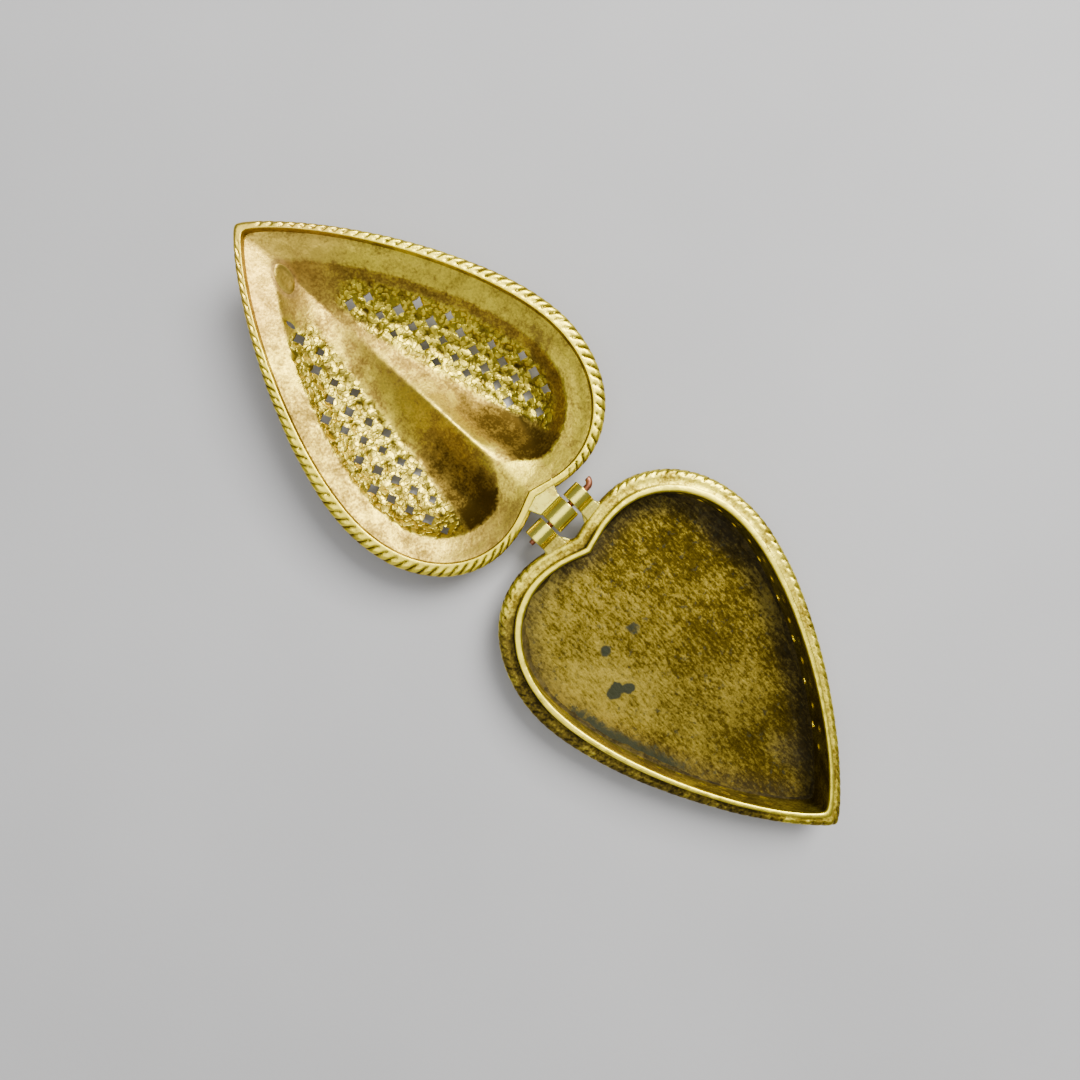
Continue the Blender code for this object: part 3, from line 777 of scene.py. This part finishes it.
def make_lid_patch():
    """The oval casting plug near the tip: it stands a hair proud, inside a dark sunken seam."""
    rings, per_ring = (0.15, 0.35, 0.55, 0.75, 0.9, 0.97, 1.0), 48
    angles = np.arange(per_ring) * 2 * math.pi / per_ring
    oval = np.stack((np.cos(angles), np.sin(angles)), axis=1) * PATCH_SIZE
    oval *= (1 + 0.05 * np.sin(3 * angles + 1.0))[:, None]
    oval = oval @ PATCH_TURN.T
    plan = np.concatenate([PATCH_CENTRE + oval * size for size in rings])
    crown = np.repeat([0.34, 0.34, 0.33, 0.30, 0.20, 0.02, -0.45], per_ring)
    rough = lumps(np.pad(plan, ((0, 0), (0, 1))), 1.8, 51) * 0.06
    top = np.column_stack((plan, dome_depth(plan) - crown + rough))
    bottom = np.column_stack((plan, outer_depth(plan) + 0.6 * crown + rough))
    count = len(plan)
    faces = ring_faces(len(rings), per_ring)
    faces += [tuple(count + i for i in reversed(face)) for face in ring_faces(len(rings), per_ring)]
    faces += [tuple(reversed(range(per_ring))), tuple(count + i for i in range(per_ring))]
    for i in range(count - per_ring, count):
        j = i + 1 if i + 1 < count else count - per_ring
        faces.append((i, j, count + j, count + i))
    patch = make_object("lid_patch_plug", np.concatenate((top, bottom)), faces, lid_matrix())
    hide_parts("lid_patch")
    return patch


# ---- surface attributes

def positions(item):
    """The vertices of a piece, in millimetres."""
    spots = np.empty(len(item.data.vertices) * 3, np.float32)
    item.data.vertices.foreach_get("co", spots)
    return spots.reshape(-1, 3).astype(float) / MM


def paint(item, name, values):
    """Stores one number per vertex, which the materials read by its name."""
    attribute = item.data.attributes.get(name) or item.data.attributes.new(name, "FLOAT", "POINT")
    attribute.data.foreach_set("value", np.asarray(values, np.float32))


def mark_wear(item, gain=1.0, blur=2):
    """Paints wear: above 0 on edges and bosses that hands polish, below 0 in hollows with dirt."""
    mesh = item.data
    spots = positions(item)
    edges = np.empty(len(mesh.edges) * 2, np.int32)
    mesh.edges.foreach_get("vertices", edges)
    a, b = edges.reshape(-1, 2).T
    normals = np.empty(len(spots) * 3, np.float32)
    mesh.vertex_normals.foreach_get("vector", normals)
    normals = normals.reshape(-1, 3)
    count = np.bincount(a, minlength=len(spots)) + np.bincount(b, minlength=len(spots))
    gap = spots[b] - spots[a]
    length = np.maximum(np.linalg.norm(gap, axis=1), 1e-4)
    bend = np.zeros(len(spots))
    np.add.at(bend, a, -(gap * normals[a]).sum(axis=1) / length)
    np.add.at(bend, b, (gap * normals[b]).sum(axis=1) / length)
    wear = bend / np.maximum(count, 1)
    for _ in range(blur):
        total = np.zeros(len(spots))
        np.add.at(total, a, wear[b])
        np.add.at(total, b, wear[a])
        wear = 0.5 * wear + 0.5 * total / np.maximum(count, 1)
    wear = np.clip(wear * 4 * gain, -1, 1)
    paint(item, "wear", wear)
    return wear


def plan_of_base(spots):
    return np.stack((spots[:, 0], HINGE_POINT.y - spots[:, 1]), axis=1)


def plan_of_lid(spots):
    """A lid piece's places (side, along, depth), from where they lie with the lid open."""
    back = np.array(lid_matrix().inverted())
    return spots @ back[:3, :3].T + back[:3, 3]


def blob(plan, centre, size, seed):
    """A soft-edged spot of that size at a plan place, with an uneven edge."""
    gap = np.linalg.norm((plan - centre) / size, axis=1)
    spots = np.pad(plan, ((0, 0), (0, 1)))
    gap = gap + 0.22 * lumps(spots, 1.6, seed)
    return 1 - ease(gap, 0.3, 1.5)


# ---- materials

class Surface:
    """Builds one procedural metal out of noise, painted attributes and bump."""

    def __init__(self, name):
        self.material = bpy.data.materials.new(name)
        self.material.use_nodes = True
        self.tree = self.material.node_tree
        self.shader = self.tree.nodes["Principled BSDF"]
        self.place = self.tree.nodes.new("ShaderNodeTexCoord").outputs["Object"]

    def feed(self, made, inputs):
        for slot, value in dict(inputs).items():
            if isinstance(value, bpy.types.NodeSocket):
                self.tree.links.new(value, made.inputs[slot])
            else:
                made.inputs[slot].default_value = value
        return made

    def node(self, kind, inputs=(), **settings):
        made = self.tree.nodes.new(kind)
        for key, value in settings.items():
            setattr(made, key, value)
        return self.feed(made, inputs)

    def stretched(self, scale, turn=0.0):
        mapping = self.node("ShaderNodeMapping", {"Vector": self.place, "Scale": scale,
                                                  "Rotation": (0, 0, turn)})
        return mapping.outputs["Vector"]

    def noise(self, size, detail=4.0, roughness=0.55, vector=None, distortion=0.0):
        """Noise from 0 to 1 with features about size mm across."""
        made = self.node("ShaderNodeTexNoise", {
            "Vector": vector or self.place, "Scale": 0.5 / (size * MM), "Detail": detail,
            "Roughness": roughness, "Distortion": distortion})
        return made.outputs["Fac"]

    def attribute(self, name):
        return self.node("ShaderNodeAttribute", attribute_name=name).outputs["Fac"]

    def math(self, operation, a, b, clamp=False):
        made = self.node("ShaderNodeMath", {0: a, 1: b}, operation=operation, use_clamp=clamp)
        return made.outputs[0]

    def times(self, a, b):
        return self.math("MULTIPLY", a, b)

    def plus(self, a, b, clamp=False):
        return self.math("ADD", a, b, clamp)

    def stretch(self, value, low, high, to_low=0.0, to_high=1.0):
        made = self.node("ShaderNodeMapRange", {0: value, 1: low, 2: high, 3: to_low, 4: to_high},
                         clamp=True, interpolation_type="SMOOTHSTEP")
        return made.outputs[0]

    def blend(self, share, a, b):
        a, b = ((*value, 1) if isinstance(value, tuple) else value for value in (a, b))
        return self.node("ShaderNodeMix", {0: share, 6: a, 7: b}, data_type="RGBA").outputs[2]

    def ramp(self, value, stops):
        made = self.node("ShaderNodeValToRGB", {"Fac": value})
        band = made.color_ramp
        while len(band.elements) < len(stops):
            band.elements.new(0.5)
        for element, (place, colour) in zip(band.elements, stops):
            element.position = place
            element.color = (*colour, 1)
        return made.outputs["Color"]

    def finish(self, colour, roughness, metallic, height, bump_mm):
        bump = self.node("ShaderNodeBump", {"Height": height, "Strength": 1.0,
                                            "Distance": bump_mm * MM})
        self.feed(self.shader, {"Base Color": colour, "Roughness": roughness, "Metallic": metallic,
                                "Normal": bump.outputs[0]})
        return self.material


# Dark colour of dirt and patina, also used for painted shade through the stain attribute.
DIRT_AND_SHADE = (0.022, 0.015, 0.004)
VERDIGRIS = (0.020, 0.023, 0.0035)
COPPERY = (0.70, 0.42, 0.09)


def aged_brass(name, dark, mid, light, rough=(0.36, 0.62), mottle=8.0, contrast=1.0, wear=0.45,
               brushed=0.0, pale=None, shine=1.0, bump_mm=0.05, grain=1.0):
    """Old brass: patina, dirt in the hollows, polished edges, painted stains and verdigris, and
    painted light and shade through the tone and stain attributes.
    """
    s = Surface(name)
    broad = s.noise(mottle, 5.0, 0.6, distortion=0.6)
    middle = s.noise(1.9 * grain, 6.0, 0.65)
    fine = s.noise(0.35, 3.0, 0.6)
    mixed = s.plus(s.times(broad, 0.70 - 0.36 * grain), s.times(middle, 0.36 * grain))
    mixed = s.plus(mixed, s.times(fine, 0.30))
    if brushed:
        streak = s.noise(1.0, 5.0, 0.7, vector=s.stretched((2.6, 0.9, 1.0), brushed))
        mixed = s.plus(s.times(mixed, 0.60), s.times(streak, 0.40))
    spread = 0.16 / contrast
    tone = s.stretch(mixed, 0.5 - spread, 0.5 + spread)
    worn = s.attribute("wear")
    tone = s.plus(tone, s.times(worn, wear), clamp=True)
    # The tone attribute raises or lowers the tone: partly the metal's own tone and polish, partly
    # painted light and shade.
    tone = s.plus(tone, s.attribute("glow"), clamp=True)
    colour = s.ramp(tone, ((0.0, dark), (0.45, mid), (1.0, light)))
    if pale:
        share = s.times(s.attribute("pale"), s.stretch(mixed, 0.38, 0.58, 0.25, 1.0))
        colour = s.blend(share, colour, pale)
        waves = s.node("ShaderNodeTexNoise", {"Vector": s.place, "Scale": 0.8 / MM, "Detail": 3.0})
        shift = s.node("ShaderNodeVectorMath", {0: waves.outputs["Color"], 1: (1.4 * MM,) * 3},
                       operation="MULTIPLY")
        wavy = s.node("ShaderNodeVectorMath", {0: s.place, 1: shift.outputs[0]}, operation="ADD")
        cells = s.node("ShaderNodeTexVoronoi", {"Vector": wavy.outputs[0], "Scale": 0.74 / MM,
                                                "Randomness": 0.9}, feature="F1")
        crevice = s.stretch(cells.outputs["Distance"], 0.38, 0.72)
        tooling = s.times(s.attribute("tooled"), crevice)
        colour = s.blend(s.times(tooling, 0.65), colour, DIRT_AND_SHADE)
    hollow = s.stretch(worn, -0.08, -0.55)
    colour = s.blend(s.times(hollow, 0.75), colour, DIRT_AND_SHADE)
    # Stains darken the colour towards the dark colour; in places this is painted shade.
    stain = s.times(s.attribute("stain"), s.stretch(middle, 0.25, 0.6, 0.55, 1.0))
    colour = s.blend(stain, colour, DIRT_AND_SHADE)
    ragged = s.plus(s.times(middle, 0.55), s.times(fine, 0.3))
    green = s.stretch(s.plus(s.attribute("verdigris"), ragged), 0.74, 0.98)
    speck = s.stretch(s.noise(0.9, 4.0, 0.7), 0.58, 0.68)
    green = s.plus(green, s.times(speck, s.attribute("specks")), clamp=True)
    colour = s.blend(green, colour, VERDIGRIS)
    copper = s.attribute("copper")
    colour = s.blend(s.times(copper, s.stretch(mixed, 0.36, 0.6, 0.3, 0.9)), colour, COPPERY)
    roughness = s.stretch(tone, 0.0, 1.0, rough[1], rough[0])
    roughness = s.plus(roughness, s.times(s.plus(green, stain), 0.22), clamp=True)
    metallic = s.math("SUBTRACT", shine, s.times(s.plus(green, stain), 0.55), clamp=True)
    height = s.plus(s.times(middle, 0.55), s.times(fine, 0.45))
    if pale:
        height = s.math("SUBTRACT", height, tooling)
    if brushed:
        height = s.plus(height, s.times(streak, 0.6))
    return s.finish(colour, roughness, metallic, height, bump_mm)


def copper_wire():
    s = Surface("copper_wire")
    broad = s.noise(1.5, 5.0, 0.6)
    colour = s.ramp(broad, ((0.3, (0.10, 0.035, 0.02)), (0.5, (0.34, 0.12, 0.06)),
                            (0.72, (0.60, 0.28, 0.16))))
    drawn = s.noise(0.3, 3.0, 0.6, vector=s.stretched((0.1, 1.0, 1.0), HINGE_AXIS.y))
    return s.finish(colour, s.stretch(broad, 0.3, 0.7, 0.6, 0.38), 0.9, drawn, 0.02)


def pale_floor():
    s = Surface("pale_floor")
    soft = s.noise(60.0, 3.0, 0.5)
    fine = s.noise(1.5, 4.0, 0.6)
    colour = s.ramp(soft, ((0.3, (0.46, 0.46, 0.47)), (0.7, (0.51, 0.51, 0.52))))
    return s.finish(colour, 0.75, 0.0, fine, 0.05)


def dress(item, material, slot, body, replaces=None, **painted):
    """Gives a piece its material, body and painted attributes."""
    item.data.materials.clear()
    item.data.materials.append(material)
    for name in ("stain", "verdigris", "specks", "copper", "glow", "pale", "tooled"):
        paint(item, name, painted.get(name, np.zeros(len(item.data.vertices))))
    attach(item, body)
    if replaces:
        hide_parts(replaces)


# ---- dressed pieces

def dress_base():
    cast = aged_brass("base_cast_brass", (0.040, 0.027, 0.003), (0.24, 0.172, 0.014),
                      (0.92, 0.76, 0.06), rough=(0.30, 0.58), mottle=5.0, contrast=0.85,
                      wear=0.5, bump_mm=0.10)
    wall, hole_centres = make_base_wall()
    wear = mark_wear(wall, 1.0)
    spots = positions(wall)
    hole_gap = np.full(len(spots), 99.0)
    for centre in hole_centres:
        hole_gap = np.minimum(hole_gap, np.linalg.norm(spots - centre, axis=1))
    painted_hole_glint = 1 - ease(hole_gap, 1.15, 1.45)
    plan = plan_of_base(spots)
    height = spots[:, 2]
    inner_loop = loop_points(BASE_INNER, 300)
    edge, within = distance_to(inner_loop, plan), inside(inner_loop, plan)
    lip = ease(height, LIP_TOP - 0.8, LIP_TOP - 0.25)
    ledge = ease(height, 11.4, 12.0) * (1 - ease(height, 13.2, 14.2))
    ledge *= ease(edge, 1.0, 1.5) * ~within
    inner_wall = (within | (edge < 0.5)) * (1 - lip)
    # Painted light: the inner wall on the left, which faces the light, is painted lighter.
    painted_light_left = ease(-plan[:, 0], 5, 30)
    clean = np.maximum(ease(plan[:, 0], 2, 16), 1 - ease(plan[:, 1], 7, 13))
    clean = np.maximum(clean, 0.8 * ease(plan[:, 1], 92, 104))
    paint(wall, "wear", np.where(ledge > 0.3, np.maximum(wear, -0.5 + 0.42 * clean), wear))
    glow = 0.62 * lip + ledge * (0.48 * clean - 0.26) + 0.08 * inner_wall * painted_light_left
    low_band = inner_wall * (1 - ease(height, 2.0, 6.0))
    verdigris = low_band * ease(-plan[:, 0], 12, 24) * ease(plan[:, 1], 34, 44)
    verdigris *= 1 - ease(plan[:, 1], 66, 78)
    copper = inner_wall * ease(plan[:, 1], 46, 54) * (1 - ease(plan[:, 1], 70, 78))
    copper *= ease(-plan[:, 0], 10, 20) * ease(height, 4, 7) * 0.3
    # Stain on the inner wall and on the ledge's dirty parts; the inner wall also darkens towards the
    # right as painted shade, where the wall keeps the light off it.
    stain = inner_wall * (0.25 + 0.35 * ease(plan[:, 0], 0, 25)) + 0.3 * ledge * (1 - clean)
    # Painted highlight: the hole edges on the wall's inside are painted bright, as light glinting
    # through the holes, and kept free of stain.
    painted_hole_glint *= within | (edge < 0.7)
    stain *= 1 - painted_hole_glint
    glow = glow + 0.7 * painted_hole_glint
    outside = (height < 8.8) * (edge > 0.8) * ~within
    dress(wall, cast, "cast_brass", "base", "base_wall", glow=glow + 0.05 * outside,
          verdigris=0.35 * verdigris, copper=copper, stain=stain, specks=0.5 * low_band)

    sheet = aged_brass("floor_sheet_brass", (0.014, 0.009, 0.0007), (0.062, 0.042, 0.003),
                       (0.30, 0.225, 0.030), rough=(0.34, 0.60), mottle=9.0, contrast=0.85,
                       brushed=0.02, bump_mm=0.12, grain=0.55)
    plate = make_base_floor()
    mark_wear(plate, 0.3)
    plan = plan_of_base(positions(plate))
    verdigris = np.maximum.reduce([
        share * blob(plan, centre, size, seed) for share, centre, size, seed in (
            (0.5, (-5.0, 37.0), 2.8, 61), (0.66, (-14.9, 36.8), 1.9, 63),
            (0.85, (-20.5, 46.6), (3.3, 2.4), 65), (0.8, (-17.2, 48.4), (2.4, 1.9), 67))])
    rim = 1 - ease(distance_to(loop_points(FLOOR_EDGE, 240), plan), 0.3, 7.5)
    left_rim = rim * ease(-plan[:, 0], 3, 14) * ease(plan[:, 1], 30, 48)
    left_rim *= 1 - 0.8 * ease(plan[:, 1], 70, 82)
    # Painted light and shade on the floor plate: lighter on the left, where the light falls, darker
    # on the right in the right wall's shadow, and darker towards the tip.
    painted_shadow_right = ease(plan[:, 0] * 0.9 - plan[:, 1] * 0.1, -8, 24)
    dark_tip = ease(plan[:, 1], 74, 98)
    glow = 0.04 - 0.05 * painted_shadow_right - 0.10 * dark_tip + 0.21 * ease(-plan[:, 0], -2, 22)
    stain = 0.5 * rim + 0.4 * blob(plan, (4.0, 92.0), (4.5, 6.0), 69)
    stain = np.clip(stain + 0.35 * blob(plan, (30.5, 32.0), (4.0, 8.0), 71), 0, 0.85)
    dress(plate, sheet, "sheet_brass", "base", "base_floor", glow=glow,
          verdigris=verdigris + 0.6 * left_rim, stain=stain, specks=0.6 + 0.4 * left_rim)

    seam = make_solder_seam()
    mark_wear(seam, 0.6)
    plan = plan_of_base(positions(seam))
    left = ease(-plan[:, 0], 5, 20)
    dirty = aged_brass("solder_and_dirt", (0.02, 0.014, 0.003), (0.07, 0.048, 0.006),
                       (0.22, 0.155, 0.02), rough=(0.5, 0.75), mottle=3.0, shine=0.8, bump_mm=0.1)
    dress(seam, dirty, "sheet_brass", "base", verdigris=0.3 * left, stain=0.35 + 0.2 * (1 - left),
          specks=0.5 * left)


def dress_lid():
    cast = aged_brass("lid_cast_brass", (0.062, 0.038, 0.004), (0.275, 0.186, 0.028),
                      (0.95, 0.77, 0.05), rough=(0.32, 0.60), contrast=0.72,
                      pale=(0.88, 0.69, 0.09), bump_mm=0.12)
    shell = make_lid_shell()
    wear = mark_wear(shell, 1.0)
    spots = plan_of_lid(positions(shell))
    plan, depth = spots[:, :2], spots[:, 2]
    carved = carving(plan)
    rim = 1 - ease(depth, 0.2, 0.9)
    within = inside(CREASE_LOOP, plan)
    skirt = (~within) * (depth > 3.9)
    left = ease(-plan[:, 0], -4, 14)
    clean = (skirt & (distance_to(RIM_LOOP[::6], plan) < 1.5)) | (plan[:, 1] > 86)
    paint(shell, "wear", np.where(clean, np.maximum(wear, -0.12), wear))
    seam = patch_gap(plan)
    seam = ease(seam, 0.88, 1.0) * (1 - ease(seam, 1.15, 1.45))
    # The central ridge gets a golden copper tint and a painted highlight along it.
    ridge = within * (1 - ease(np.abs(plan[:, 0]), 1.0, 8.0)) * ease(plan[:, 1], 24, 50)
    tip = ease(plan[:, 1], 82, 96)
    inner = 1 - ease(depth - dome_depth(plan), 0.5, 0.8)
    wide = np.abs(plan[:, 0])
    reach = np.where(plan[:, 0] > 0, 13, 18)
    # Painted shade in the bowls' steep hinge-side ends, together with their dark patina: the bowl
    # mask darkens them.
    bowl = within * (1 - ease(plan[:, 1], 24, 50)) * ease(wide, 1.5, 6)
    bowl *= (1 - carved) * (1 - ease(wide, reach, reach + 6)) * (0.3 + 0.7 * inner)
    carved *= 0.5 + 0.5 * inner
    glow = 0.55 * rim + 0.33 * carved - 0.50 * bowl + 0.12 * ridge
    glow += skirt * (0.04 * left + 0.20 * (1 - left)) + 0.12 * within * left * (1 - carved)
    # Pale metal on the skirt, the tip and the tooled zones; on the left lobe's tooled zone it is also
    # a painted highlight, as that side faces the light.
    pale = carved * (0.15 + 0.5 * left) + skirt * (0.18 + 0.05 * left) + 0.15 * tip
    copper = 0.25 * ridge + 0.55 * tip + 0.28 * skirt * left
    copper += 0.14 * within * (1 - carved) * (1 - 0.7 * bowl)
    dress(shell, cast, "lid_brass", "lid", "lid_shell", glow=glow, pale=np.clip(pale, 0, 1),
          copper=np.clip(copper, 0, 1), stain=0.95 * seam, tooled=np.clip(carved * 1.2, 0, 1))
    patch = make_lid_patch()
    mark_wear(patch, 0.7)
    ones = np.ones(len(patch.data.vertices))
    edge = ease(patch_gap(plan_of_lid(positions(patch))[:, :2]), 0.86, 0.97)
    dress(patch, cast, "lid_brass", "lid", glow=0.25 * ones, pale=0.4 * ones, copper=0.7 * ones,
          stain=0.9 * edge)


def dress_hinge():
    worn = aged_brass("hinge_worn_brass", (0.12, 0.082, 0.010), (0.62, 0.49, 0.06), (1.0, 0.89, 0.12),
                      rough=(0.24, 0.42), mottle=4.0, wear=0.5, bump_mm=0.06)
    for name, ends in zip(("ear_left", "ear_right"), EAR_ENDS):
        ear = make_ear(name, "hinge_" + name, ends)
        mark_wear(ear, 0.8)
        plan = plan_of_base(positions(ear))
        shank = ease(plan[:, 1], 2.6, 4.2)
        dress(ear, worn, "worn_brass", "base", glow=0.7 - 0.6 * shank, stain=0.15 * shank)
    knuckle = make_lid_knuckle()
    mark_wear(knuckle, 0.8)
    ones = np.ones(len(knuckle.data.vertices))
    web = ease(plan_of_lid(positions(knuckle))[:, 1], 3.2, 4.6)
    dress(knuckle, worn, "worn_brass", "lid", glow=0.75 * ones - 0.6 * web)
    pin = make_pin()
    dress(pin, copper_wire(), "copper_wire", "base")


# ---- stage, camera and lights

CAMERA_HEIGHT = 250.0  # above the hinge plane
CAMERA_OFFSET = (-7.6, -1.4)  # from the hinge, in X and Y
CAMERA_ROLL = math.radians(-42.3)
LENS = 31.33


def make_stage():
    bpy.ops.mesh.primitive_plane_add(size=3.0, location=(0, 0.05, -0.0002))
    floor = bpy.context.object
    floor.name = "studio_floor"
    floor.data.materials.append(pale_floor())


def make_camera():
    data = bpy.data.cameras.new("camera")
    data.lens = LENS
    data.sensor_width = 36.0
    data.clip_start = 0.01
    camera = bpy.data.objects.new("camera", data)
    place = HINGE_POINT + Vector((*CAMERA_OFFSET, CAMERA_HEIGHT))
    camera.location = place * MM
    camera.rotation_euler = (0, 0, CAMERA_ROLL)
    bpy.context.scene.collection.objects.link(camera)
    bpy.context.scene.camera = camera


def area_light(name, place, target, size, power, colour):
    data = bpy.data.lights.new(name, "AREA")
    data.shape = "RECTANGLE"
    data.size, data.size_y = size
    data.energy = power
    data.color = colour
    light = bpy.data.objects.new(name, data)
    light.location = place
    light.rotation_euler = (Vector(target) - Vector(place)).to_track_quat("-Z", "Y").to_euler()
    bpy.context.scene.collection.objects.link(light)


def make_lights():
    middle = (0, 0.055, 0.01)
    area_light("window", (0.55, 0.12, 0.78), middle, (0.45, 0.55), 16.0, (1.0, 0.985, 0.95))
    area_light("ceiling", (-0.05, 0.1, 1.1), middle, (0.9, 0.9), 5.0, (1.0, 0.99, 0.97))
    area_light("fill", (-0.8, -0.3, 0.5), middle, (0.8, 0.8), 1.0, (1.0, 0.98, 0.95))
    world = bpy.data.worlds.new("studio")
    world.use_nodes = True
    sky = world.node_tree.nodes["Background"]
    sky.inputs["Color"].default_value = (0.92, 0.94, 0.97, 1)
    sky.inputs["Strength"].default_value = 0.25
    bpy.context.scene.world = world


make_camera()
make_stage()
make_lights()
dress_base()
dress_lid()
dress_hinge()
